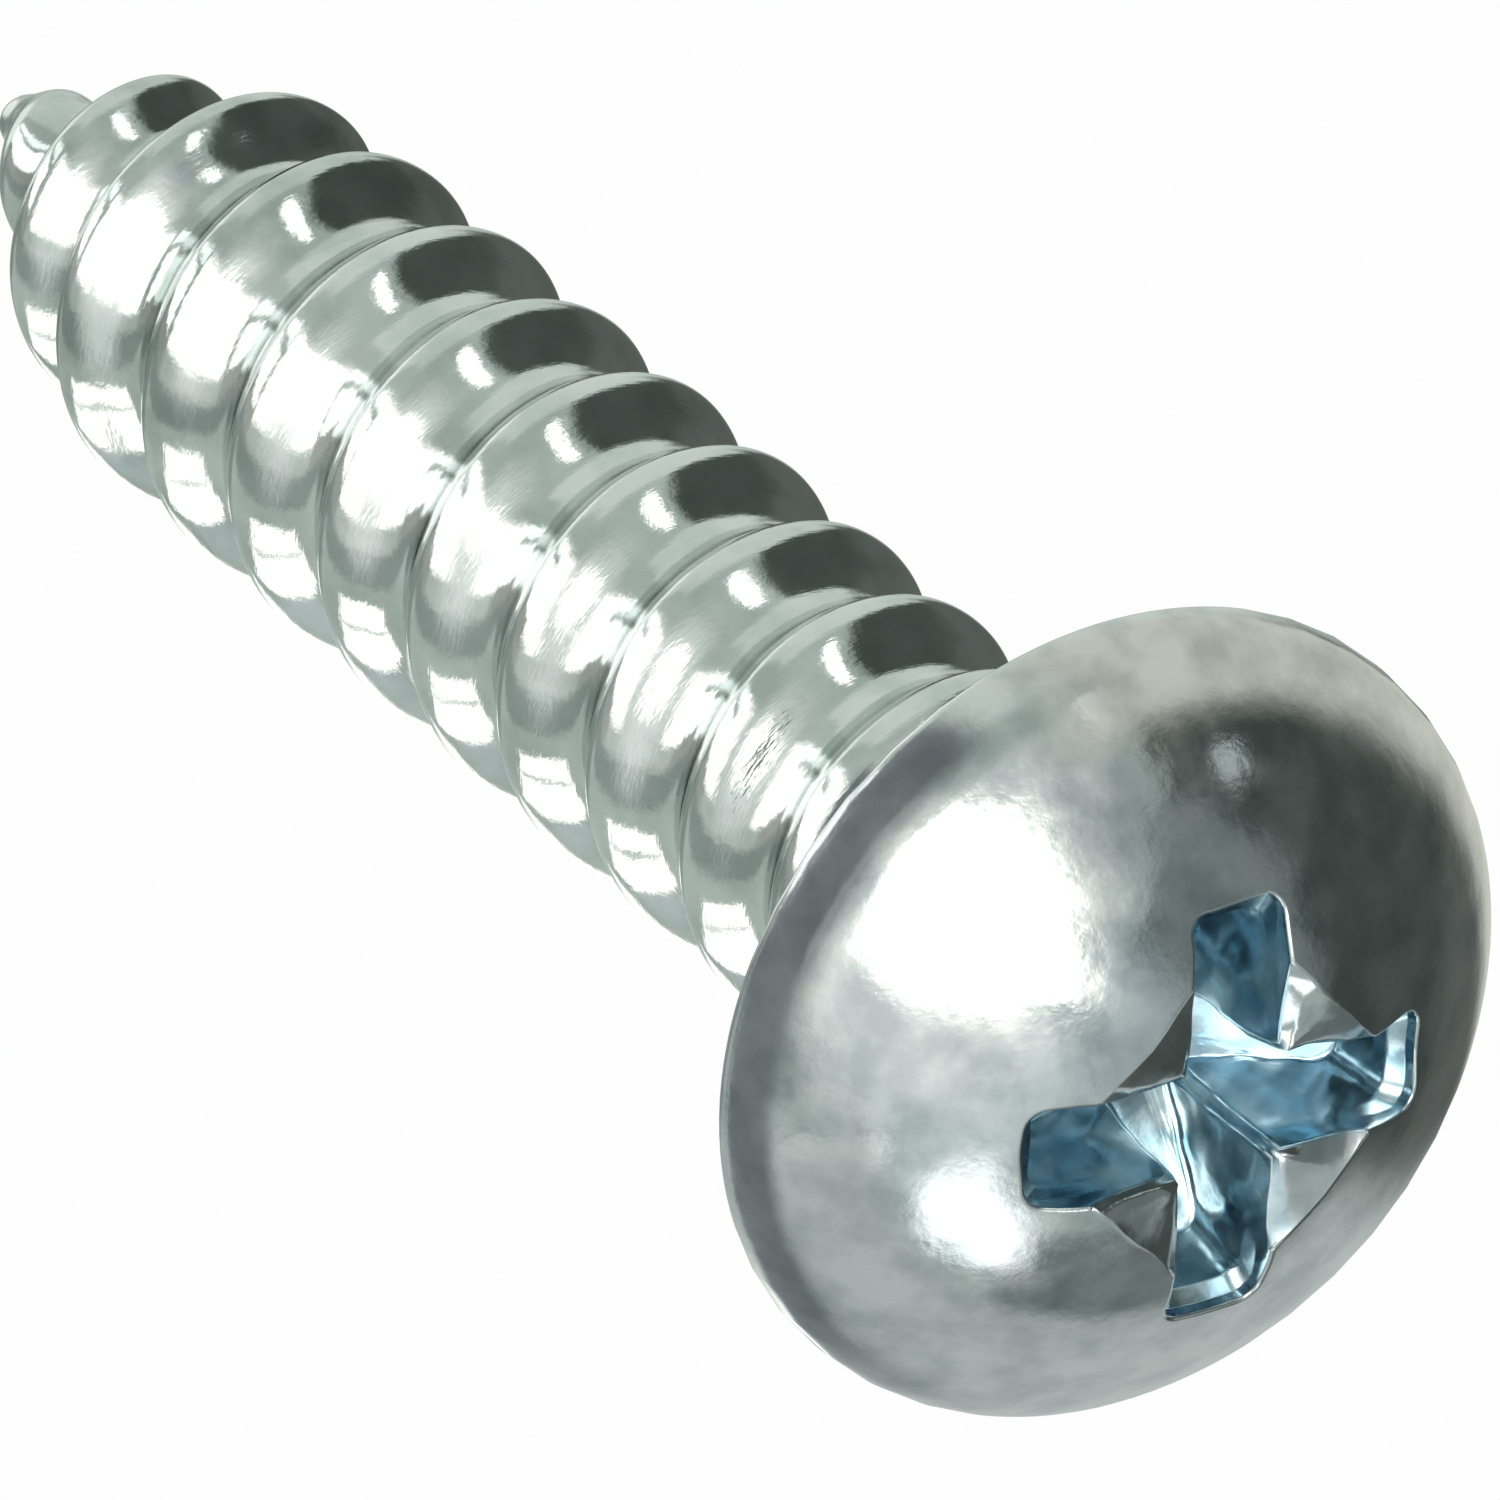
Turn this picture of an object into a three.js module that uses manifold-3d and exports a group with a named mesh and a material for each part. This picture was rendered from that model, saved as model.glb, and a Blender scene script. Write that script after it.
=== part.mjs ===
// Wood screw, 3.5 x 16 mm: domed pan head, cross recess, full single-start right-hand thread, gimlet point.
// One cold-headed and thread-rolled piece, divided into its four regions by flat cuts square to the axis.
// Millimetres. The axis is Z, the head is up, and the origin is the centre of the face under the head.
import * as THREE from 'three';
import { mergeVertices } from 'three/addons/utils/BufferGeometryUtils.js';
import Module from 'manifold-3d';

// Driving dimensions
const screwLength = 16; // from the face under the head to the tip
const headDiameter = 6.86;
const headHeight = 2.4;
const rimHeight = 0.55; // the straight side of the head, below the dome
const rimFillet = 0.16; // rounds the lower edge of the rim
const recessSpan = 3.6; // across two opposite wings of the cross, at the mouth
const recessDepth = 2.0; // from the top of the dome
const wingWidth = 0.86;
const cornerReach = 0.52; // where the wall between two wings meets each wing, from the axis
const bevelReach = 1.2; // from the axis to the outer edge of each bevel sunk between two wings
const bevelSlope = 9; // degrees, each bevel from level
const wingTaperAngle = 13.25; // degrees, each wing's outer edge from the axis
const recessFloorAngle = 28; // degrees, the floor's slope
const threadDiameter = 3.48;
const coreDiameter = 2.86;
const pitch = 1.34;
const crestSharpness = 1.1; // 1 is a plain wave, higher narrows the crest and widens the root
const threadTurnOffset = 0.315; // turns by which the crest stands ahead of +X at the face under the head
const neckLength = 1.3; // the thread runs out within it
const neckDiameter = 2.9;
const neckFlare = 0.3; // radius of the fillet between neck and head
const seatClearance = 0.05; // from the flare's edge to the bearing ring
const pointLength = 5.2; // over which the core tapers
const crestTaperLength = 3.85; // over which the crest tapers
const tipRadius = 0.17;
const pointFullness = 1.1; // 1 is a sine ogive, higher is leaner

// Fineness of the solids
const turnSteps = 36;
const rowStep = 0.15;
const neckRowStep = 0.1;
const headSteps = 72;
const domeSteps = 12;
const filletSteps = 3;
const cutterClearance = 0.5; // how far the recess cutter stands above the dome

const headRadius = headDiameter / 2;
const coreRadius = coreDiameter / 2;
const neckRadius = neckDiameter / 2;
const threadRise = (threadDiameter - coreDiameter) / 2;
const domeRise = headHeight - rimHeight;
const domeRadius = (headRadius ** 2 + domeRise ** 2) / (2 * domeRise);
const neckBottom = -neckLength;
const pointTop = pointLength - screwLength;
const tipHeight = -screwLength;

const headZinc = new THREE.MeshStandardMaterial({ color: 0xb4bbc0, roughness: 0.16, metalness: 1 });
const shankZinc = new THREE.MeshStandardMaterial({ color: 0xb9bec1, roughness: 0.18, metalness: 1 });
const pointZinc = new THREE.MeshStandardMaterial({ color: 0xb0b6b8, roughness: 0.22, metalness: 1 });

const wasm = await Module();
wasm.setup();

function clamp01(value) {
  return Math.min(Math.max(value, 0), 1);
}

function smoothStep(value) {
  const t = clamp01(value);
  return t * t * (3 - 2 * t);
}

// 0 at the tip and 1 where the taper ends, along an ogive
function ogive(z, taperLength) {
  const share = clamp01((z - tipHeight) / taperLength);
  return Math.sin((Math.PI / 2) * share) ** pointFullness;
}

// 1 on the crest and 0 in the root of the right-hand helix
function threadWave(angle, z) {
  const turns = z / pitch - angle / (2 * Math.PI) + threadTurnOffset;
  return (0.5 + 0.5 * Math.cos(2 * Math.PI * turns)) ** crestSharpness;
}

// How far the fillet under the head stands out from the neck
function flareRise(z) {
  const drop = Math.min(Math.max(neckFlare + z, 0), neckFlare);
  return neckFlare - Math.sqrt(neckFlare ** 2 - drop ** 2);
}

// The surface of everything below the head: its distance from the axis at an angle and a height
function shankRadius(angle, z) {
  const plainShare = smoothStep((z - neckBottom) / (neckLength - neckFlare));
  const core = tipRadius + (coreRadius - tipRadius) * ogive(z, pointLength);
  const crest = tipRadius + (coreRadius + threadRise - tipRadius) * ogive(z, crestTaperLength);
  const threaded = core + Math.max(crest - core, 0) * threadWave(angle, z) * (1 - plainShare);
  return threaded + (neckRadius - coreRadius) * plainShare + flareRise(z);
}

// A length of the shank between two flat cuts
function shankSection(low, high, step) {
  const rows = Math.max(2, Math.round((high - low) / step));
  const geometry = new THREE.CylinderGeometry(1, 1, high - low, turnSteps, rows);
  geometry.rotateX(Math.PI / 2);
  const place = geometry.getAttribute('position');
  for (let i = 0; i < place.count; i += 1) {
    const angle = Math.atan2(place.getY(i), place.getX(i));
    const level = Math.round(((place.getZ(i) + (high - low) / 2) / (high - low)) * rows);
    const z = level === rows ? high : low + (level * (high - low)) / rows;
    const onSide = Math.hypot(place.getX(i), place.getY(i)) > 0.5;
    const radius = onSide ? shankRadius(angle, z) : 0;
    place.setXYZ(i, radius * Math.cos(angle), radius * Math.sin(angle), z);
  }
  geometry.computeVertexNormals();
  return geometry;
}

// A closed solid of revolution about Z from [radius, height] points, listed from the bottom up
function revolve(profile) {
  const points = profile.map(([radius, height]) => new THREE.Vector2(radius, height));
  return new THREE.LatheGeometry(points, headSteps).rotateX(Math.PI / 2);
}

// The head's outline: flat bearing face with its ring outside the neck, filleted rim and spherical dome
function headProfile() {
  const domeAngle = Math.asin(headRadius / domeRadius);
  const profile = [[0, 0], [neckRadius + neckFlare + seatClearance, 0]];
  for (let i = 0; i <= filletSteps; i += 1) {
    const turn = ((Math.PI / 2) * i) / filletSteps;
    profile.push([headRadius - rimFillet * (1 - Math.sin(turn)), rimFillet * (1 - Math.cos(turn))]);
  }
  for (let i = 0; i < domeSteps; i += 1) {
    const turn = domeAngle * (1 - i / domeSteps);
    profile.push([domeRadius * Math.sin(turn), headHeight - domeRadius * (1 - Math.cos(turn))]);
  }
  profile.push([0, headHeight]);
  return profile;
}

// How high the dome stands at a distance from the axis
function domeHeight(distance) {
  return headHeight - domeRadius + Math.sqrt(domeRadius ** 2 - distance ** 2);
}

// The cross seen from above: four wings, with a slanting wall between each two
function crossShape() {
  const reach = recessSpan / 2 + cutterClearance;
  const halfWing = wingWidth / 2;
  const quarter = [[reach, -halfWing], [reach, halfWing], [cornerReach, halfWing], [halfWing, cornerReach]];
  const axis = new THREE.Vector2();
  const points = [];
  for (let turn = 0; turn < 4; turn += 1) {
    for (const [x, y] of quarter) {
      points.push(new THREE.Vector2(x, y).rotateAround(axis, (turn * Math.PI) / 2));
    }
  }
  return new THREE.Shape(points);
}

// The shallow pyramid, point down, whose four faces sink the bevels between the wings
function bevelPunch() {
  const slope = Math.tan(THREE.MathUtils.degToRad(bevelSlope));
  const point = domeHeight(bevelReach) - bevelReach * slope;
  const top = headHeight + cutterClearance;
  const cornerRadius = ((top - point) / slope) * Math.SQRT2;
  const pyramid = new THREE.ConeGeometry(cornerRadius, top - point, 4);
  pyramid.rotateX(-Math.PI / 2);
  pyramid.translate(0, 0, (top + point) / 2);
  return toManifold(pyramid);
}

// The punch that leaves the wings: a cross trimmed by its tapering wing edges and conical floor
function wingPunch() {
  const top = headHeight + cutterClearance;
  const floor = headHeight - recessDepth;
  const edgeSlope = Math.tan(THREE.MathUtils.degToRad(wingTaperAngle));
  const floorSlope = Math.tan(THREE.MathUtils.degToRad(recessFloorAngle));
  const wingRadius = recessSpan / 2;
  // The wing edge and the floor meet where both lines give the same height
  const meetRadius = (wingRadius - recessDepth * edgeSlope) / (1 - floorSlope * edgeSlope);
  const meetHeight = floor + meetRadius * floorSlope;
  const topRadius = wingRadius + cutterClearance * edgeSlope;
  const trim = revolve([[0, floor], [meetRadius, meetHeight], [topRadius, top], [0, top]]);
  const cross = new THREE.ExtrudeGeometry(crossShape(), { depth: top - floor, bevelEnabled: false });
  cross.translate(0, 0, floor);
  return toManifold(trim).intersect(toManifold(cross));
}

// Takes the recess out of a piece; a recess deeper than the head goes on into the neck
function punched(geometry) {
  return toGeometry(toManifold(geometry).subtract(wingPunch().add(bevelPunch())));
}

function toManifold(geometry) {
  const bare = geometry.clone();
  bare.deleteAttribute('normal');
  bare.deleteAttribute('uv');
  const merged = mergeVertices(bare, 1e-5);
  const vertProperties = new Float32Array(merged.getAttribute('position').array);
  const triVerts = new Uint32Array(merged.index.array);
  return new wasm.Manifold(new wasm.Mesh({ numProp: 3, vertProperties, triVerts }));
}

function toGeometry(solid) {
  const mesh = solid.getMesh();
  const geometry = new THREE.BufferGeometry();
  geometry.setAttribute('position', new THREE.BufferAttribute(mesh.vertProperties, 3));
  geometry.setIndex(new THREE.BufferAttribute(mesh.triVerts, 1));
  geometry.computeVertexNormals();
  return geometry;
}

function named(name, geometry, material) {
  const mesh = new THREE.Mesh(geometry, material);
  mesh.name = name;
  return mesh;
}

const screw = new THREE.Group();
screw.add(named('head', punched(revolve(headProfile())), headZinc));
screw.add(named('neck', punched(shankSection(neckBottom, 0, neckRowStep)), shankZinc));
screw.add(named('threaded_shank', shankSection(pointTop, neckBottom, rowStep), shankZinc));
screw.add(named('gimlet_point', shankSection(tipHeight, pointTop, rowStep), pointZinc));

export default screw;
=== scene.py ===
"""Looks for the 3.5 x 16 mm wood screw: fine meshes of its four regions, bright zinc plate and a studio.

Lengths are in millimetres, and MM turns them to metres for Blender. Z is the screw's axis, head up, and
z = 0 is the flat face under the head. The wings of the cross recess point along X and Y.
"""
import math

import bpy
import numpy as np
from mathutils import Matrix, Vector


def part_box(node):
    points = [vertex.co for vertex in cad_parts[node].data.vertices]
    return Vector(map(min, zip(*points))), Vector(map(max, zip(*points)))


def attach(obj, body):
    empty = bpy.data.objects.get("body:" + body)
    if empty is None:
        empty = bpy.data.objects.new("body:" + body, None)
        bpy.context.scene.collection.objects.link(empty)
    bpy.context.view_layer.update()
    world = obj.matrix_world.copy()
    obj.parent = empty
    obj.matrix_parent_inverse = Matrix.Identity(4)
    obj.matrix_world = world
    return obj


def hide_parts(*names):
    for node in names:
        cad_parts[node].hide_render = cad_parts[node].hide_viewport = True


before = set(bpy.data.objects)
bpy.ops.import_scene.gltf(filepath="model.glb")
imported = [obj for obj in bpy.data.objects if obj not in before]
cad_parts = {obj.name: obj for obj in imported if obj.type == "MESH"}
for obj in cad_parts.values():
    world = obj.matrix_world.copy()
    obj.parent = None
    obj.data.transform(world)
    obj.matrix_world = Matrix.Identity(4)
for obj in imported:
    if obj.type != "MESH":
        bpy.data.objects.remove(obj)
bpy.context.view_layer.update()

MM = 0.001


def node_box(node):
    """Lowest and highest corner of a CAD node, in millimetres."""
    low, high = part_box(node)
    return np.array(low) / MM, np.array(high) / MM


head_low, head_high = node_box("head")
neck_low = node_box("neck")[0]
point_low, point_high = node_box("gimlet_point")

# ---- The screw's dimensions, in mm ----
HEAD_RADIUS = (head_high[0] - head_low[0]) / 2
HEAD_HEIGHT = 2.4          # to the top of the dome, before the recess is punched in it
RIM_HEIGHT = 0.55
RIM_FILLET = 0.16
SHOULDER_ROUND = 0.95      # rolls the dome over into the rim
RECESS_SPAN = 3.6
RECESS_DEPTH = 2.0
WING_WIDTH = 0.86
CORNER_REACH = 0.52        # where the wall between two wings meets each wing
BEVEL_REACH = 1.2          # from the axis to the outer edge of the bevel between two wings
BEVEL_SLOPE = math.radians(9)
WING_TAPER = math.radians(13.25)
WING_DRAFT = math.radians(4.0)
FLOOR_ANGLE = math.radians(28)
BEVEL_OUT = BEVEL_REACH * math.sqrt(2) - WING_WIDTH / 2 - CORNER_REACH  # how far a bevel moves the corner out
WING_END_ROUND = 0.16      # rounds the corners at the end of a wing
WING_END_SHARE = 0.45      # of half the wing's width, the most that round may take
BEND_ROUND = 0.08          # rounds the bend between a wing's side and the wall between two wings
MOUTH_ROUND = 0.045        # radius of the rolled edge round the recess
BEVEL_ROLL = 0.12          # share of that roll where the dome meets a bevel
MOUTH_WEAR = 0.014         # how far the mouth wanders from its true outline
MOUTH_WEAR_DEPTH = 0.6     # below which nothing of the wear is left
PUNCH_MARK = 0.012

NECK_BOTTOM = neck_low[2]
POINT_TOP = point_high[2]
TIP = point_low[2]
CORE_RADIUS = 1.43
THREAD_RISE = 0.31
PITCH = 1.34
CREST_SHARPNESS = 1.1
THREAD_TURN_OFFSET = 0.315
ROLLING_MARK = 0.006
NECK_RADIUS = 1.45
NECK_FLARE = 0.3
POINT_LENGTH = POINT_TOP - TIP
CREST_TAPER_LENGTH = 3.85
TIP_RADIUS = 0.17
TIP_ROUND = 0.14
TIP_CLOSING = 0.97         # how far the tip's end closes, where 1 would be a sharp end
POINT_FULLNESS = 1.1

# ---- Uneven surfaces: each row is a sine wave's radians per unit along each direction, then its phase ----
ROLLING_WAVES_SLOW = ((2, 2.3, 0.0), (3, -3.1, 1.0))         # round the axis, and along it
ROLLING_WAVES_QUICK = ((5, 6.7, 0.6), (7, -5.3, 2.0))
ROLLING_QUICK_SHARE = 0.5
MOUTH_WAVES = ((4.3, 5.9, 0.0), (-6.1, 7.7, 1.0))            # along X and Y
PUNCH_WAVES = ((5.1, 0, 3.7, 0.0), (0, 4.7, -4.3, 1.0), (3.9, -3.9, 5.2, 2.0))  # along X, Y and Z
PUNCH_RIPPLES = ((11.3, 0, -7.9, 0.0), (0, 9.7, 8.3, 0.0))   # multiplied by each other

# ---- Fineness ----
TURN_STEPS = 160
ROW_STEP = 0.04
LEAST_ROWS = 8
SLOPE_STEP = 1e-4          # over which slopes are worked out
WING_END_POINTS = 7
WING_SIDE_POINTS = 9
BEND_POINTS = 5
FLAT_POINTS = 5            # across a wing's end, and along the wall between two wings
BEARING_SHARES = (0.25, 0.5, 0.8)
FILLET_ROWS = 9
RIM_SHARES = (0.35, 0.7)
SHOULDER_ROWS = 9
DOME_ROWS = 25
LIP_ROWS = 5
BEVEL_SHARES = (0.25, 0.5, 0.75, 1.0)
WALL_ROWS = 13
WALL_MARKS_FULL = 1 / 3    # of the wall's height, down to where the punch marks reach their full depth
FOOT_GUESS = 0.5           # above the floor's lowest point, where the search for the wall's foot starts
FOOT_TRIES = 12
FLOOR_SHARES = (0.96, 0.9, 0.8, 0.65, 0.5, 0.35, 0.2, 0.08)


# ---- Shapes ----
def smooth_step(value):
    t = np.clip(value, 0, 1)
    return t * t * (3 - 2 * t)


def wave(row, *place):
    """One sine wave from the tables above."""
    return np.sin(sum(rate * value for rate, value in zip(row, place)) + row[-1])


def ogive(z, taper_length):
    """0 at the tip and 1 where the taper ends."""
    return np.sin(np.pi / 2 * np.clip((z - TIP) / taper_length, 0, 1)) ** POINT_FULLNESS


def thread_wave(angle, z):
    """1 on the crest and 0 in the rounded root of the right-hand helix."""
    turns = z / PITCH - angle / (2 * np.pi) + THREAD_TURN_OFFSET
    return (np.cos(np.pi * turns) ** 2) ** CREST_SHARPNESS


def rolling_marks(angle, z):
    """Shallow unevenness that the rolling dies leave, a few micrometres high."""
    slow = sum(wave(row, angle, z) for row in ROLLING_WAVES_SLOW)
    quick = sum(wave(row, angle, z) for row in ROLLING_WAVES_QUICK)
    return ROLLING_MARK * (slow + ROLLING_QUICK_SHARE * quick)


def shank_radius(angle, z):
    """The surface of everything below the head: its distance from the axis at an angle and a height."""
    plain = smooth_step((z - NECK_BOTTOM) / (-NECK_BOTTOM - NECK_FLARE))
    core = TIP_RADIUS + (CORE_RADIUS - TIP_RADIUS) * ogive(z, POINT_LENGTH)
    crest = TIP_RADIUS + (CORE_RADIUS + THREAD_RISE - TIP_RADIUS) * ogive(z, CREST_TAPER_LENGTH)
    threaded = core + np.maximum(crest - core, 0) * thread_wave(angle, z) * (1 - plain)
    drop = np.clip(NECK_FLARE + z, 0, NECK_FLARE)
    flare = NECK_FLARE - np.sqrt(NECK_FLARE ** 2 - drop ** 2)
    nose = np.clip(1 - (z - TIP) / TIP_ROUND, 0, 1)
    marks = rolling_marks(angle, z) * np.clip(-z / NECK_FLARE, 0, 1) * ogive(z, POINT_LENGTH)
    radius = threaded + (NECK_RADIUS - CORE_RADIUS) * plain + flare + marks
    return radius * np.sqrt(1 - TIP_CLOSING * nose ** 2)


def shank_rings(low, high):
    """Rings of points and their normals, from the bottom up."""
    rows = max(LEAST_ROWS, round((high - low) / ROW_STEP))
    z = np.linspace(low, high, rows + 1)[:, None]
    angle = np.linspace(0, 2 * np.pi, TURN_STEPS, endpoint=False)[None, :]
    step = SLOPE_STEP
    radius = shank_radius(angle, z)
    by_angle = (shank_radius(angle + step, z) - shank_radius(angle - step, z)) / (2 * step)
    z_up = np.minimum(z + step, high)
    z_down = np.maximum(z - step, low)
    by_z = (shank_radius(angle, z_up) - shank_radius(angle, z_down)) / (z_up - z_down)
    cos = np.cos(angle)
    sin = np.sin(angle)
    points = np.stack([radius * cos, radius * sin, z + 0 * angle], -1)
    normals = np.stack([radius * cos + by_angle * sin, radius * sin - by_angle * cos, -radius * by_z], -1)
    return points, normals / np.linalg.norm(normals, axis=-1, keepdims=True)


def dome_sphere():
    """The dome's radius and the height of its centre."""
    rise = HEAD_HEIGHT - RIM_HEIGHT
    sphere = (HEAD_RADIUS ** 2 + rise ** 2) / (2 * rise)
    return sphere, HEAD_HEIGHT - sphere


def dome_height(x, y):
    sphere, sphere_z = dome_sphere()
    return sphere_z + np.sqrt(np.maximum(sphere ** 2 - x ** 2 - y ** 2, 0))


def recess_floor(xy):
    """The height of the recess's conical floor."""
    return HEAD_HEIGHT - RECESS_DEPTH + np.hypot(xy[:, 0], xy[:, 1]) * math.tan(FLOOR_ANGLE)


def arc_points(centre, start, sweep, radius, steps):
    turns = start + sweep * np.linspace(0, 1, steps)
    return [(centre[0] + radius * math.cos(t), centre[1] + radius * math.sin(t)) for t in turns]


def line_points(start, end, steps):
    """Points between start and end, without either."""
    shares = np.linspace(0, 1, steps + 2)[1:-1]
    return [(start[0] + (end[0] - start[0]) * s, start[1] + (end[1] - start[1]) * s) for s in shares]


def cross_outline(depth, bevel=0.0):
    """The recess's outline at a depth below the top of the dome, anticlockwise, always of the same count.

    bevel is how far out the corners between the wings stand: 1 at the mouth and 0 below the bevels.
    """
    half_span = RECESS_SPAN / 2 - depth * math.tan(WING_TAPER)
    half_wing = WING_WIDTH / 2 - depth * math.tan(WING_DRAFT)
    reach = CORNER_REACH - depth * math.tan(WING_DRAFT) + BEVEL_OUT * bevel
    end_round = min(WING_END_ROUND, half_wing * WING_END_SHARE)
    bend = BEND_ROUND * math.tan(math.pi / 8)
    end_centre = (half_span - end_round, half_wing - end_round)
    bend_centre = (reach + bend, half_wing + BEND_ROUND)
    # From the wing along X to the wall between two wings, then its mirror image to the wing along Y
    quarter = arc_points(end_centre, 0, math.pi / 2, end_round, WING_END_POINTS)
    quarter += line_points(quarter[-1], (reach + bend, half_wing), WING_SIDE_POINTS)
    quarter += arc_points(bend_centre, -math.pi / 2, -math.pi / 4, BEND_ROUND, BEND_POINTS)
    mirrored = [(y, x) for x, y in reversed(quarter)]
    points = quarter + line_points(quarter[-1], mirrored[0], FLAT_POINTS) + mirrored
    points += line_points(mirrored[-1], (-quarter[0][1], quarter[0][0]), FLAT_POINTS)
    points = np.array(points)
    quarter_turn = np.array([[0, 1], [-1, 0]])
    outline = np.vstack([points @ np.linalg.matrix_power(quarter_turn, turn) for turn in range(4)])
    wear = MOUTH_WEAR * sum(wave(row, outline[:, 0], outline[:, 1]) for row in MOUTH_WAVES)
    wear *= max(0.0, 1 - depth / MOUTH_WEAR_DEPTH)
    return outline + wear[:, None] * outward(outline)


def outlines_at(heights):
    """Points of the recess's outline, each taken at its own height."""
    return np.array([cross_outline(HEAD_HEIGHT - z)[i] for i, z in enumerate(heights)])


def between_wings(ring):
    """Which points of a ring lie between two wings, where the bevels are."""
    return np.abs(ring[:, :2]).min(axis=1) > WING_WIDTH / 2 + 2 * MOUTH_WEAR


def outward(outline):
    """Unit normals of a closed anticlockwise outline, pointing out of the recess."""
    along = np.roll(outline, -1, 0) - np.roll(outline, 1, 0)
    normal = np.stack([along[:, 1], -along[:, 0]], -1)
    return normal / np.linalg.norm(normal, axis=1, keepdims=True)


def punch_marks(xy, z):
    """Unevenness of the recess's walls, left by a worn punch."""
    place = (xy[:, 0], xy[:, 1], z)
    slow = sum(wave(row, *place) for row in PUNCH_WAVES)
    quick = wave(PUNCH_RIPPLES[0], *place) * wave(PUNCH_RIPPLES[1], *place)
    return PUNCH_MARK * (slow + quick)


def head_rings():
    """Rings from the middle of the bearing face, round the rim, over the dome and down into the recess.

    Also which of the rings lie on the dome, and which one is the recess's mouth.
    """
    mouth = cross_outline(0.0, 1.0)
    count = len(mouth)
    bearing = np.arctan2(mouth[:, 1], mouth[:, 0])
    circle = np.stack([np.cos(bearing), np.sin(bearing)], -1)
    rings = []
    dome_rows = []

    def add(xy, z, on_dome=False):
        dome_rows.append(on_dome)
        rings.append(np.column_stack([xy, np.broadcast_to(z, count)]))

    for share in BEARING_SHARES:
        add(circle * (HEAD_RADIUS - RIM_FILLET) * share, 0.0)
    for turn in np.linspace(0, math.pi / 2, FILLET_ROWS):
        radius = HEAD_RADIUS - RIM_FILLET + RIM_FILLET * math.sin(turn)
        add(circle * radius, RIM_FILLET - RIM_FILLET * math.cos(turn))
    # Straight rim, then a roll that starts along the rim and ends along the dome
    sphere, sphere_z = dome_sphere()
    roll_radius = HEAD_RADIUS - SHOULDER_ROUND
    # The roll's circle touches the rim inside and the sphere inside
    roll_centre_z = sphere_z + math.sqrt((sphere - SHOULDER_ROUND) ** 2 - roll_radius ** 2)
    for share in RIM_SHARES:
        add(circle * HEAD_RADIUS, RIM_FILLET + (roll_centre_z - RIM_FILLET) * share)
    roll_end = math.asin((roll_centre_z - sphere_z) / (sphere - SHOULDER_ROUND))
    for turn in np.linspace(0, roll_end, SHOULDER_ROWS):
        radius = roll_radius + SHOULDER_ROUND * math.cos(turn)
        add(circle * radius, roll_centre_z + SHOULDER_ROUND * math.sin(turn))
    outer = circle * (roll_radius + SHOULDER_ROUND * math.cos(roll_end))
    inner = mouth + MOUTH_ROUND * outward(mouth)
    # The edge rolls right over into the wings, and only slightly onto the bevels
    roll_share = np.where(between_wings(mouth), BEVEL_ROLL, 1.0)
    for share in np.linspace(0, 1, DOME_ROWS + 1)[1:]:
        xy = outer + (inner - outer) * share
        add(xy, dome_height(xy[:, 0], xy[:, 1]), True)
    for turn in np.linspace(0, math.pi / 2, LIP_ROWS + 1)[1:]:
        xy = mouth + MOUTH_ROUND * (1 - math.sin(turn)) * outward(mouth)
        add(xy, dome_height(xy[:, 0], xy[:, 1]) - MOUTH_ROUND * (1 - math.cos(turn)) * roll_share)
    mouth_row = len(rings) - 1
    lip = rings[-1][:, 2]
    for share in BEVEL_SHARES:
        sink = share * BEVEL_OUT / math.sqrt(2) * math.tan(BEVEL_SLOPE)
        add(cross_outline(sink, 1 - share), lip - sink)
    lip = rings[-1][:, 2]
    # The walls taper, so where they meet the floor is found by trying again from each answer
    foot = np.full(count, HEAD_HEIGHT - RECESS_DEPTH + FOOT_GUESS)
    for _ in range(FOOT_TRIES):
        outline = outlines_at(foot)
        foot = recess_floor(outline)
    for share in np.linspace(0, 1, WALL_ROWS + 1)[1:]:
        z = lip + (foot - lip) * share
        xy = outlines_at(z)
        fade = min(1.0, share / WALL_MARKS_FULL)
        add(xy + fade * punch_marks(xy, z)[:, None] * outward(xy), z)
    for share in FLOOR_SHARES:
        xy = outline * share
        floor = recess_floor(xy)
        add(xy, floor + share * punch_marks(xy, floor))
    return np.array(rings), np.array(dome_rows), mouth_row


def add_object(name, data):
    added = bpy.data.objects.new(name, data)
    bpy.context.scene.collection.objects.link(added)
    return added


def mesh_object(name, rings, bottom, top, material_at=None):
    """A closed mesh: rings of points joined by quads, closed by a fan to the point bottom and one to top.

    material_at gives the material's number for a face from its row and column.
    """
    rows, count = rings.shape[:2]
    points = np.vstack([rings.reshape(-1, 3), [bottom, top]]) * MM
    faces = []
    materials = []
    for row in range(rows - 1):
        for i in range(count):
            j = (i + 1) % count
            faces.append((row * count + i, row * count + j, (row + 1) * count + j, (row + 1) * count + i))
            materials.append(material_at(row, i) if material_at else 0)
    last = (rows - 1) * count
    for i in range(count):
        j = (i + 1) % count
        faces.append((rows * count, j, i))
        faces.append((rows * count + 1, last + i, last + j))
        materials += [material_at(0, i), material_at(rows, i)] if material_at else [0, 0]
    mesh = bpy.data.meshes.new(name)
    mesh.from_pydata(points.tolist(), [], faces)
    mesh.polygons.foreach_set("use_smooth", [True] * len(faces))
    mesh.polygons.foreach_set("material_index", materials)
    mesh.update()
    return add_object(name, mesh)


def set_normals(piece, known):
    """Gives the vertices in known their worked-out normals, so that light crosses the cuts without a seam."""
    mesh = piece.data
    normals = [tuple(v.normal) for v in mesh.vertices]
    for index, normal in known.items():
        normals[index] = normal
    mesh.normals_split_custom_set_from_vertices(normals)


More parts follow.
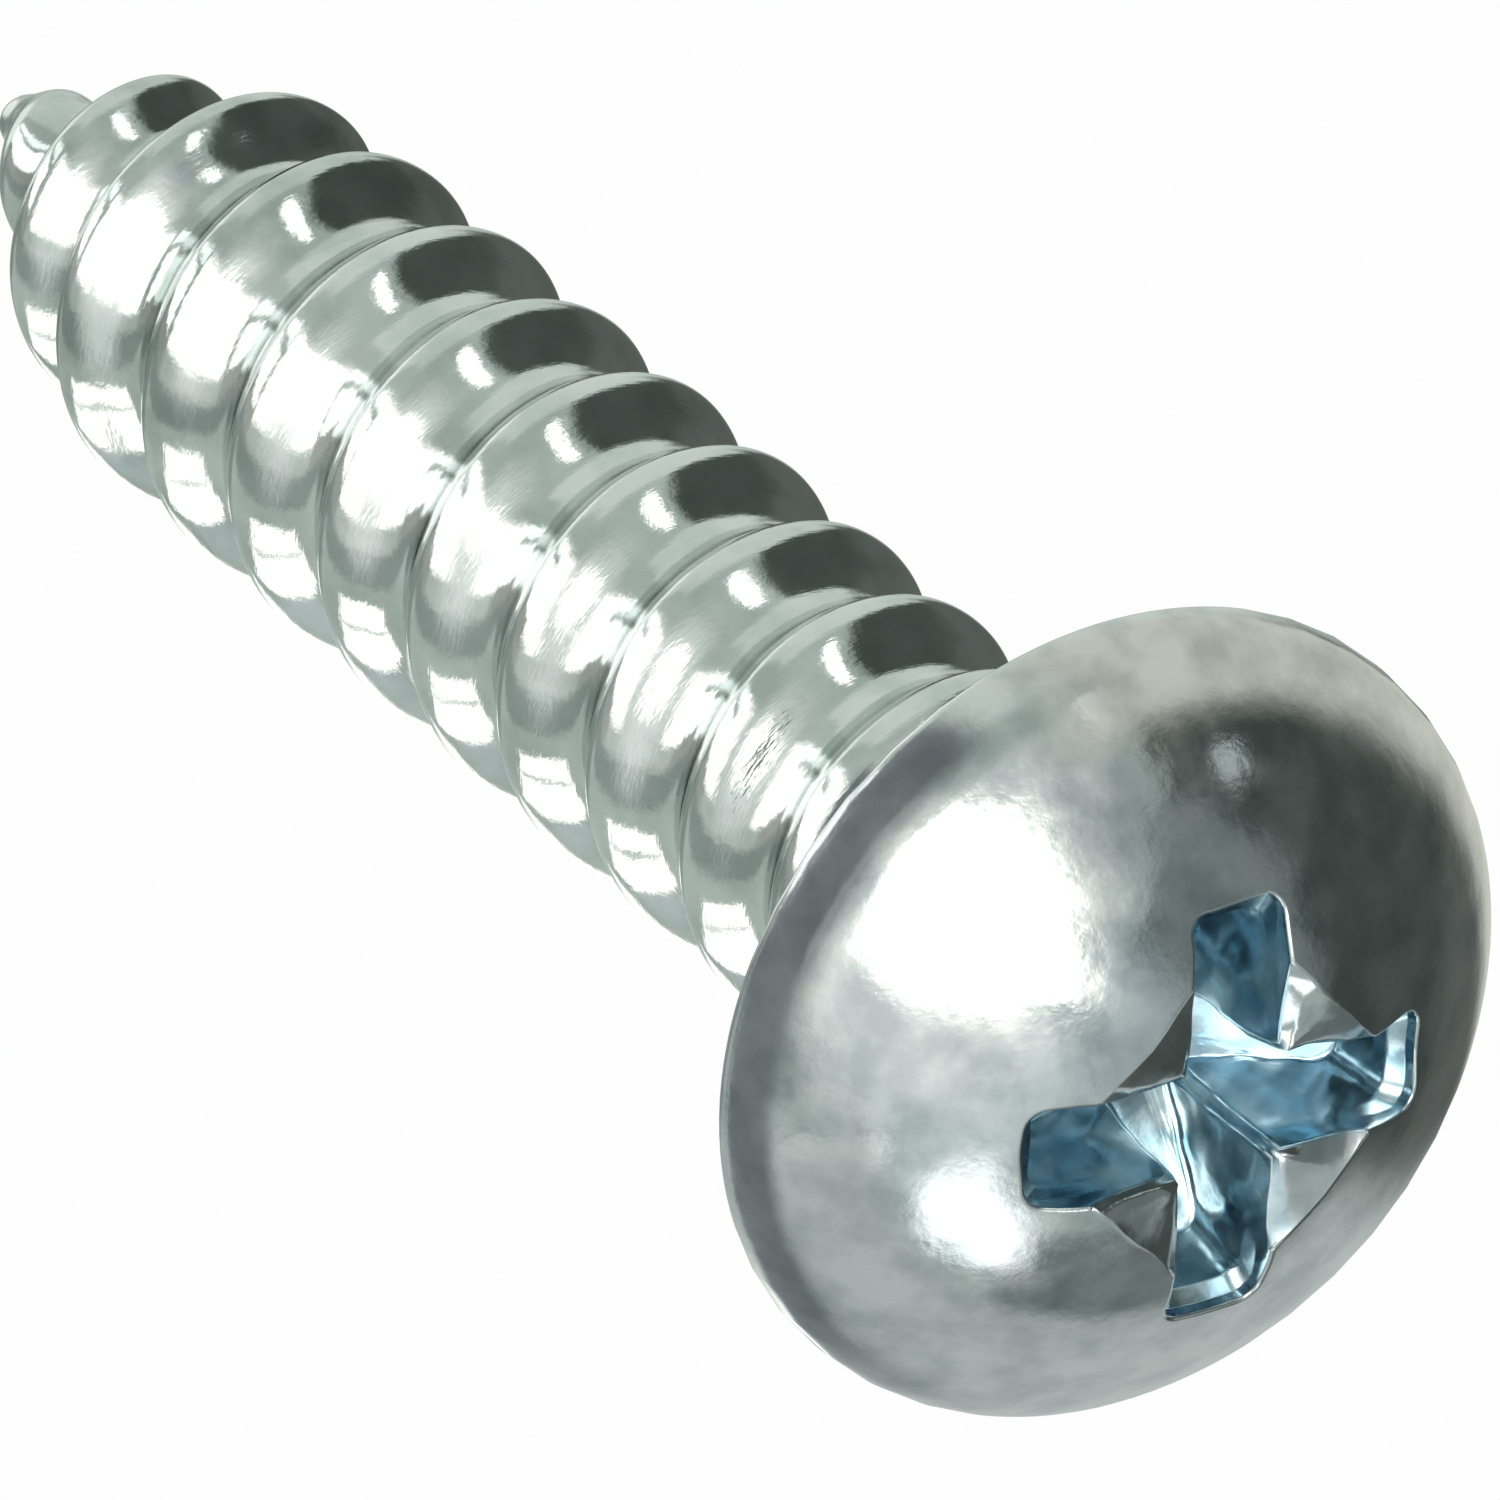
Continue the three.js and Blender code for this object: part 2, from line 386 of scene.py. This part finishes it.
# ---- Materials ----
def to_linear(hex_colour):
    """A linear RGBA colour from an sRGB hex string."""
    channels = [int(hex_colour[i:i + 2], 16) / 255 for i in (1, 3, 5)]
    linear = [c / 12.92 if c <= 0.04045 else ((c + 0.055) / 1.055) ** 2.4 for c in channels]
    return (*linear, 1.0)


def empty_tree(owner):
    """The node tree of a material or a world, with nothing in it."""
    owner.use_nodes = True
    owner.node_tree.nodes.clear()
    return owner.node_tree


def add_node(tree, kind, inputs=None, **attributes):
    """Adds a node; inputs maps a socket's name or number to a value or to another node's output socket."""
    node = tree.nodes.new(kind)
    for key, value in attributes.items():
        setattr(node, key, value)
    for socket, value in (inputs or {}).items():
        if isinstance(value, bpy.types.NodeSocket):
            tree.links.new(value, node.inputs[socket])
        else:
            node.inputs[socket].default_value = value
    return node


# What all the zinc shares, in mm: how far apart its patterns repeat, and how high its finest ones stand
DENT_SPACING = 1.1
MOTTLE_SPACING = 0.5
STREAK_SPACING = 0.12
GRAIN_SPACING = 0.09
STREAK_HEIGHT = 0.0016
GRAIN_HEIGHT = 0.0012
# The mottle's values at which the plate is fully dull and fully bright, and least and most hazy
DULL_UP_TO, BRIGHT_FROM = 0.35, 0.62
HAZE_FROM, HAZE_TO = 0.3, 0.7
HAZE_LEAST, HAZE_MOST = 0.7, 1.5  # times the roughness


def noise(tree, place, spacing, detail):
    """Random values from 0 to 1 that change over about spacing, in mm."""
    return add_node(tree, "ShaderNodeTexNoise",
                    inputs={"Vector": place, "Scale": 1 / (spacing * MM), "Detail": detail}).outputs["Fac"]


def zinc_plate(name, bright, dull, roughness, dent_height, streak_axis):
    """Bright zinc, electroplated over cold-formed steel: near mirror, with shallow dents and mottle.

    dent_height is in mm. streak_axis squeezes the fine streaks along each axis.
    """
    material = bpy.data.materials.new(name)
    tree = empty_tree(material)
    place = add_node(tree, "ShaderNodeTexCoord").outputs["Object"]
    stretched = add_node(tree, "ShaderNodeMapping", inputs={"Vector": place, "Scale": streak_axis})
    mottle = noise(tree, place, MOTTLE_SPACING, 5.0)
    tint = add_node(tree, "ShaderNodeValToRGB", inputs={"Fac": mottle})
    tint.color_ramp.elements[0].position = DULL_UP_TO
    tint.color_ramp.elements[0].color = to_linear(dull)
    tint.color_ramp.elements[1].position = BRIGHT_FROM
    tint.color_ramp.elements[1].color = to_linear(bright)
    haze = add_node(
        tree, "ShaderNodeMapRange",
        inputs={"Value": mottle, "From Min": HAZE_FROM, "From Max": HAZE_TO,
                "To Min": roughness * HAZE_LEAST, "To Max": roughness * HAZE_MOST})
    reliefs = (
        (noise(tree, place, DENT_SPACING, 2.0), dent_height),
        (noise(tree, stretched.outputs["Vector"], STREAK_SPACING, 3.0), STREAK_HEIGHT),
        (noise(tree, place, GRAIN_SPACING, 3.0), GRAIN_HEIGHT),
    )
    below = {}
    for height, distance in reliefs:
        bump = add_node(tree, "ShaderNodeBump",
                        inputs={"Height": height, "Distance": distance * MM, "Strength": 1.0, **below})
        below = {"Normal": bump.outputs["Normal"]}
    shader = add_node(
        tree, "ShaderNodeBsdfPrincipled",
        inputs={"Base Color": tint.outputs["Color"], "Metallic": 1.0,
                "Roughness": haze.outputs["Result"], **below})
    add_node(tree, "ShaderNodeOutputMaterial", inputs={"Surface": shader.outputs["BSDF"]})
    return material


# Cold-headed dome: the punch leaves it smooth, so only barrel-plating dents show
head_zinc = zinc_plate("zinc_plate_cold_headed", "#d9dcdc", "#b9bfc0", 0.14, 0.020, (1, 1, 1))
# The recess is tinted bluer and a little darker than the dome, and the punch drew the grain down its walls
recess_zinc = zinc_plate("zinc_plate_blue_tinted_recess", "#d2e0e6", "#9cbac8", 0.18, 0.030, (1, 1, 0.3))
# Rolled thread: drawn-out grain runs along the turns
thread_zinc = zinc_plate("zinc_plate_rolled_thread", "#dadedd", "#c6ccca", 0.075, 0.022, (1, 1, 6))
# Rolled to a point between the ends of the dies: a little duller than the thread, and more dented
point_zinc = zinc_plate("zinc_plate_rolled_point", "#d6dad9", "#b9c1be", 0.10, 0.030, (1, 1, 4))


# ---- Pieces ----
def build_head():
    rings, dome_rows, mouth_row = head_rings()
    sphere, sphere_z = dome_sphere()
    on_bevel = between_wings(rings[mouth_row])

    def material_at(row, column):
        """The bevels keep the head's bright finish; the wings and the floor are blue."""
        if row < mouth_row:
            return 0
        return 0 if row < mouth_row + len(BEVEL_SHARES) and on_bevel[column] else 1

    top = (0, 0, HEAD_HEIGHT - RECESS_DEPTH)
    piece = mesh_object("pan_head", rings, (0, 0, 0), top, material_at)
    piece.data.materials.append(head_zinc)
    piece.data.materials.append(recess_zinc)
    known = {}
    count = rings.shape[1]
    for row in np.nonzero(dome_rows)[0]:
        for i in range(count):
            known[row * count + i] = tuple((rings[row, i] - (0, 0, sphere_z)) / sphere)
    set_normals(piece, known)
    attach(piece, "root")
    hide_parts("head")


def build_shank_piece(name, node, material, low, high):
    points, normals = shank_rings(low, high)
    piece = mesh_object(name, points, (0, 0, low), (0, 0, high))
    piece.data.materials.append(material)
    set_normals(piece, {i: tuple(n) for i, n in enumerate(normals.reshape(-1, 3))})
    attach(piece, "root")
    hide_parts(node)


build_head()
build_shank_piece("plain_neck", "neck", thread_zinc, NECK_BOTTOM, 0.0)
build_shank_piece("rolled_thread", "threaded_shank", thread_zinc, POINT_TOP, NECK_BOTTOM)
build_shank_piece("rolled_point", "gimlet_point", point_zinc, TIP, POINT_TOP)


# ---- Studio ----
VIEW_AZIMUTH = math.radians(45)
VIEW_ELEVATION = math.radians(46.3)
VIEW_ROLL = math.radians(129.56)
VIEW_DISTANCE = 353        # mm, a long lens
FRAME_WIDTH = 11.667       # mm across the picture at the bearing face
AIM_RIGHT, AIM_UP = -2.602, 1.913  # mm from the bearing face's centre to the middle of the picture
SENSOR_WIDTH = 36          # mm
CLIP_NEAR, CLIP_FAR = 10, 10000  # mm
FLOOR_HALF = 1500          # mm, half the floor's width
FLOOR_GAP = 0.5            # mm, the floor below the tip
PAPER_WHITE = 0.99         # how bright the floor and the background stand

toward_camera = Vector((math.sin(VIEW_AZIMUTH) * math.cos(VIEW_ELEVATION),
                        -math.cos(VIEW_AZIMUTH) * math.cos(VIEW_ELEVATION), math.sin(VIEW_ELEVATION)))
level_right = Vector((math.cos(VIEW_AZIMUTH), math.sin(VIEW_AZIMUTH), 0))
level_up = toward_camera.cross(level_right)


def make_camera():
    right = level_right * math.cos(VIEW_ROLL) + level_up * math.sin(VIEW_ROLL)
    up = -level_right * math.sin(VIEW_ROLL) + level_up * math.cos(VIEW_ROLL)
    data = bpy.data.cameras.new("camera")
    data.sensor_width = SENSOR_WIDTH
    data.lens = data.sensor_width * VIEW_DISTANCE / FRAME_WIDTH
    data.clip_start = CLIP_NEAR * MM
    data.clip_end = CLIP_FAR * MM
    camera = add_object("camera", data)
    place = (right * AIM_RIGHT + up * AIM_UP + toward_camera * VIEW_DISTANCE) * MM
    turn = Matrix((right, up, toward_camera)).transposed().to_4x4()
    camera.matrix_world = Matrix.Translation(place) @ turn
    bpy.context.scene.camera = camera


def make_floor():
    size = FLOOR_HALF * MM
    z = (TIP - FLOOR_GAP) * MM
    mesh = bpy.data.meshes.new("floor")
    corners = [(-size, -size, z), (size, -size, z), (size, size, z), (-size, size, z)]
    mesh.from_pydata(corners, [], [(0, 1, 2, 3)])
    floor = add_object("floor", mesh)
    # White acrylic sheet, lit from below
    material = bpy.data.materials.new("white_light_table")
    tree = empty_tree(material)
    glow = add_node(tree, "ShaderNodeEmission",
                    inputs={"Color": to_linear("#ffffff"), "Strength": PAPER_WHITE})
    add_node(tree, "ShaderNodeOutputMaterial", inputs={"Surface": glow.outputs["Emission"]})
    mesh.materials.append(material)
    floor.visible_glossy = False


# What the bright metal mirrors. Each patch, in degrees: its shape, where it lies round from the camera
# (more is the way opposite to level_right), half its width, how high, half its height, how much it climbs
# per degree round, its soft edge, its colour as the metal shows it, and how much brighter than that it glows.
ROOM_BASE = "#a0a9a4"
ROOM_PATCHES = (
    ("table_far", "panel", 0, 181, -70, 30, 0, 16, "#a2aba6", 1.0),
    ("table_right", "panel", 86, 56, -46, 36, 0, 14, "#bac2bb", 1.0),
    ("table_under_left", "panel", -110, 80, -64, 9, 0, 10, "#7b8480", 1.0),
    ("table_under", "panel", 0, 181, -84, 9, 0, 8, "#e4e8e5", 1.0),
    ("ceiling", "panel", 0, 181, 84, 13, 0, 12, "#98a2a4", 1.0),
    ("ceiling_left", "panel", -72, 40, 56, 24, 0, 12, "#b4bcbd", 1.0),
    ("left_wall", "panel", -125, 30, 2, 12, 0, 10, "#a6aeae", 1.0),
    ("left_wall_shade", "panel", -150, 24, 24, 16, 0, 10, "#656d6d", 1.0),
    ("left_low", "panel", -143, 24, -34, 10, 0.15, 6, "#f2f3ee", 1.3),
    ("front_wall", "panel", -12, 40, 8, 22, 0, 8, "#b0b6b2", 1.0),
    ("front_table", "panel", -34, 22, -42, 24, 0, 8, "#9a9c97", 1.0),
    ("streak_wide", "panel", -17, 14, -48, 26, 0, 3, "#f7faf8", 1.6),
    ("streak_narrow", "panel", 7, 4.5, -44, 26, 0, 3, "#e9efec", 1.4),
    ("grey_post", "panel", -57, 9, -16, 42, 0, 6, "#828b88", 1.0),
    ("front_grey", "panel", 22, 8, -20, 54, 0, 6, "#a1aaa4", 1.0),
    ("left_window", "panel", -93, 16, 6, 17, 0.8, 3, "#fbfaf3", 1.5),
    ("left_window_bar", "panel", -89, 1.2, 9, 15, 0.8, 1.5, "#a9b1ae", 1.0),
    ("window_near_dark", "round", 58, 4.5, 17, 11, 0, 3, "#f3f5f0", 1.6),
    ("dark_room", "panel", 108, 40, -5, 22, -0.48, 8, "#434944", 1.0),
    ("dark_back", "panel", 150, 32, -8, 36, 0, 12, "#525653", 1.0),
    ("dark_wall", "panel", 131, 60, 20, 25, 0, 9, "#414744", 1.0),
    ("high_wall", "panel", 122, 58, 59, 16, 0, 12, "#6a7172", 1.0),
    ("rear_high", "panel", 185, 34, 62, 12, 0, 8, "#949c9b", 1.0),
    ("lamp_by_dark", "round", 90, 4, 31, 5, 0, 2, "#b9c0be", 1.0),
    ("speckled_wall", "panel", 47, 14, 44, 15, 0, 12, "#868d8d", 1.0),
    ("left_high_window", "round", -110, 17, 39, 9.5, 0.3, 5, "#f4f7f8", 1.5),
    ("softbox_glow", "round", -14, 56, 47, 31, 0, 26, "#d9dcda", 1.0),
    ("key_softbox", "round", -3, 32, 51, 27, 0, 9, "#fffdf4", 3.0),
)
METAL_LOSS = 1.5           # how much light the plating takes, made up for in the room
RIPPLE_SCALE = 5.0         # how finely the patches' outlines waver
RIPPLE_DETAIL = 3.0
RIPPLE_SHIFT = 0.06        # how far, where 1 is about 57 degrees

# Strips of card curved round the screw's axis, seen only in the metal. Each: its radius, its lower edge, its
# upper edge at its first and at its second turn, in mm; the two turns, in degrees round from the camera like
# the patches, and how far each end fades; how far its upper edge fades, in mm; its colour as the metal shows
# it, and how much brighter than that it glows.
CARDS = (
    ("rim_flag", 4.6, -1.3, (1.0, 1.0), (-126, 24), (30, 8), 0.6, "#6b7072", 1.0),
    ("rim_wall_left", 4.8, -1.9, (3.0, 3.0), (-195, -40), (20, 25), 0.5, "#a3a9a7", 1.0),
    ("rim_wall_right", 4.6, -1.3, (2.8, 0.0), (24, 170), (22, 20), 0.7, "#b8b8af", 1.0),
    ("front_window", 22, -15, (1.2, 1.2), (-36, 13), (5, 7), 3.0, "#fffdf6", 1.5),
)
CARD_COLUMNS = 48
CARD_ROWS = 12


def math_node(tree, operation, *values):
    return add_node(tree, "ShaderNodeMath", operation=operation, inputs=dict(enumerate(values))).outputs[0]


def away_from(tree, value, centre):
    """How many degrees value is from centre, either way round the full circle."""
    off = math_node(tree, "SUBTRACT", value, centre)
    off = math_node(tree, "WRAP", off, 180.0, -180.0)
    return math_node(tree, "ABSOLUTE", off)


def within(tree, away, half_width, soft):
    """1 nearer than half_width, falling to 0 over soft."""
    fall = add_node(
        tree, "ShaderNodeMapRange", interpolation_type="SMOOTHSTEP",
        inputs={"Value": away, "From Min": half_width - soft / 2, "From Max": half_width + soft / 2,
                "To Min": 1.0, "To Max": 0.0})
    return fall.outputs["Result"]


def inside_ring(tree, across, half_width, upright, half_height, soft):
    """1 inside an oval, falling to 0 over soft."""
    wide = math_node(tree, "DIVIDE", across, half_width)
    tall = math_node(tree, "DIVIDE", upright, half_height)
    both = add_node(tree, "ShaderNodeCombineXYZ", inputs={"X": wide, "Y": tall}).outputs[0]
    reach = add_node(tree, "ShaderNodeVectorMath", operation="LENGTH", inputs={0: both}).outputs["Value"]
    return within(tree, reach, 1.0, soft / half_height)


def make_card(name, radius, low, tops, turns, soft_ends, soft_edge, hex_colour, glow):
    """One of the CARDS, as a strip that fades to clear at its ends and its upper edge."""
    points = []
    cover = []
    faces = []
    for row in range(CARD_ROWS + 1):
        for column in range(CARD_COLUMNS + 1):
            along = column / CARD_COLUMNS
            away = turns[0] + (turns[1] - turns[0]) * along
            upper = tops[0] + (tops[1] - tops[0]) * along
            height = low + (upper - low) * row / CARD_ROWS
            turn = VIEW_AZIMUTH - math.pi / 2 - math.radians(away)
            points.append((radius * math.cos(turn) * MM, radius * math.sin(turn) * MM, height * MM))
            near_share = smooth_step((away - turns[0]) / soft_ends[0])
            far_share = smooth_step((turns[1] - away) / soft_ends[1])
            cover.append(near_share * far_share * smooth_step((upper - height) / soft_edge))
    wide = CARD_COLUMNS + 1
    for row in range(CARD_ROWS):
        for i in range(row * wide, row * wide + CARD_COLUMNS):
            faces.append((i, i + 1, i + 1 + wide, i + wide))
    mesh = bpy.data.meshes.new(name)
    mesh.from_pydata(points, [], faces)
    mesh.attributes.new("cover", "FLOAT", "POINT").data.foreach_set("value", cover)
    card = add_object(name, mesh)
    # Matt paperboard, evenly lit
    material = bpy.data.materials.new(name + "_paper")
    tree = empty_tree(material)
    light = add_node(tree, "ShaderNodeEmission",
                     inputs={"Color": to_linear(hex_colour), "Strength": glow * METAL_LOSS})
    clear = add_node(tree, "ShaderNodeBsdfTransparent")
    share = add_node(tree, "ShaderNodeAttribute", attribute_name="cover").outputs["Fac"]
    mix = add_node(tree, "ShaderNodeMixShader",
                   inputs={0: share, 1: clear.outputs["BSDF"], 2: light.outputs["Emission"]})
    add_node(tree, "ShaderNodeOutputMaterial", inputs={"Surface": mix.outputs["Shader"]})
    mesh.materials.append(material)
    card.visible_camera = False


def make_room():
    """The world: the metal sees ROOM_PATCHES laid over one another, and the camera sees plain white."""
    world = bpy.data.worlds.new("room")
    bpy.context.scene.world = world
    tree = empty_tree(world)
    look = add_node(tree, "ShaderNodeTexCoord").outputs["Generated"]
    ripple = add_node(tree, "ShaderNodeTexNoise",
                      inputs={"Vector": look, "Scale": RIPPLE_SCALE, "Detail": RIPPLE_DETAIL})
    shake = add_node(tree, "ShaderNodeVectorMath", operation="MULTIPLY_ADD",
                     inputs={0: ripple.outputs["Color"], 1: (2 * RIPPLE_SHIFT,) * 3,
                             2: (-RIPPLE_SHIFT,) * 3}).outputs[0]
    look = add_node(tree, "ShaderNodeVectorMath", operation="ADD", inputs={0: look, 1: shake}).outputs[0]
    look = add_node(tree, "ShaderNodeVectorMath", operation="NORMALIZE", inputs={0: look}).outputs[0]
    ahead = (math.sin(VIEW_AZIMUTH), -math.cos(VIEW_AZIMUTH), 0)
    aside = tuple(-level_right)
    parts = []
    for axis in (aside, ahead, (0, 0, 1)):
        parts.append(add_node(tree, "ShaderNodeVectorMath", operation="DOT_PRODUCT",
                              inputs={0: look, 1: axis}).outputs["Value"])
    turn = math_node(tree, "DEGREES", math_node(tree, "ARCTAN2", parts[0], parts[1]))
    lift = math_node(tree, "DEGREES", math_node(tree, "ARCSINE", parts[2]))
    colour = add_node(tree, "ShaderNodeRGB")
    colour.outputs[0].default_value = tuple(c * METAL_LOSS for c in to_linear(ROOM_BASE)[:3]) + (1.0,)
    colour = colour.outputs[0]
    for name, shape, centre, half_width, height, half_height, climb, soft, hex_colour, glow in ROOM_PATCHES:
        across = away_from(tree, turn, centre)
        level = math_node(tree, "MULTIPLY_ADD", turn, -climb, lift)
        upright = away_from(tree, level, height - climb * centre)
        if shape == "round":
            both = inside_ring(tree, across, half_width, upright, half_height, soft)
        else:
            both = math_node(tree, "MULTIPLY", within(tree, across, half_width, soft),
                             within(tree, upright, half_height, soft))
        shade = tuple(c * glow * METAL_LOSS for c in to_linear(hex_colour)[:3]) + (1.0,)
        # A colour mix takes its share at socket 0 and its colours at 6 and 7, and gives its colour at 2
        mix = add_node(tree, "ShaderNodeMix", data_type="RGBA", label=name,
                       inputs={0: both, 6: colour, 7: shade})
        colour = mix.outputs[2]
    glow = add_node(tree, "ShaderNodeBackground", inputs={"Color": colour, "Strength": 1.0})
    paper = add_node(tree, "ShaderNodeBackground", inputs={"Color": (1, 1, 1, 1), "Strength": PAPER_WHITE})
    seen_directly = add_node(tree, "ShaderNodeLightPath").outputs["Is Camera Ray"]
    mix = add_node(tree, "ShaderNodeMixShader",
                   inputs={0: seen_directly, 1: glow.outputs["Background"], 2: paper.outputs["Background"]})
    add_node(tree, "ShaderNodeOutputWorld", inputs={"Surface": mix.outputs["Shader"]})


make_camera()
make_floor()
for card_row in CARDS:
    make_card(*card_row)
make_room()
bpy.context.scene.view_settings.view_transform = "Standard"
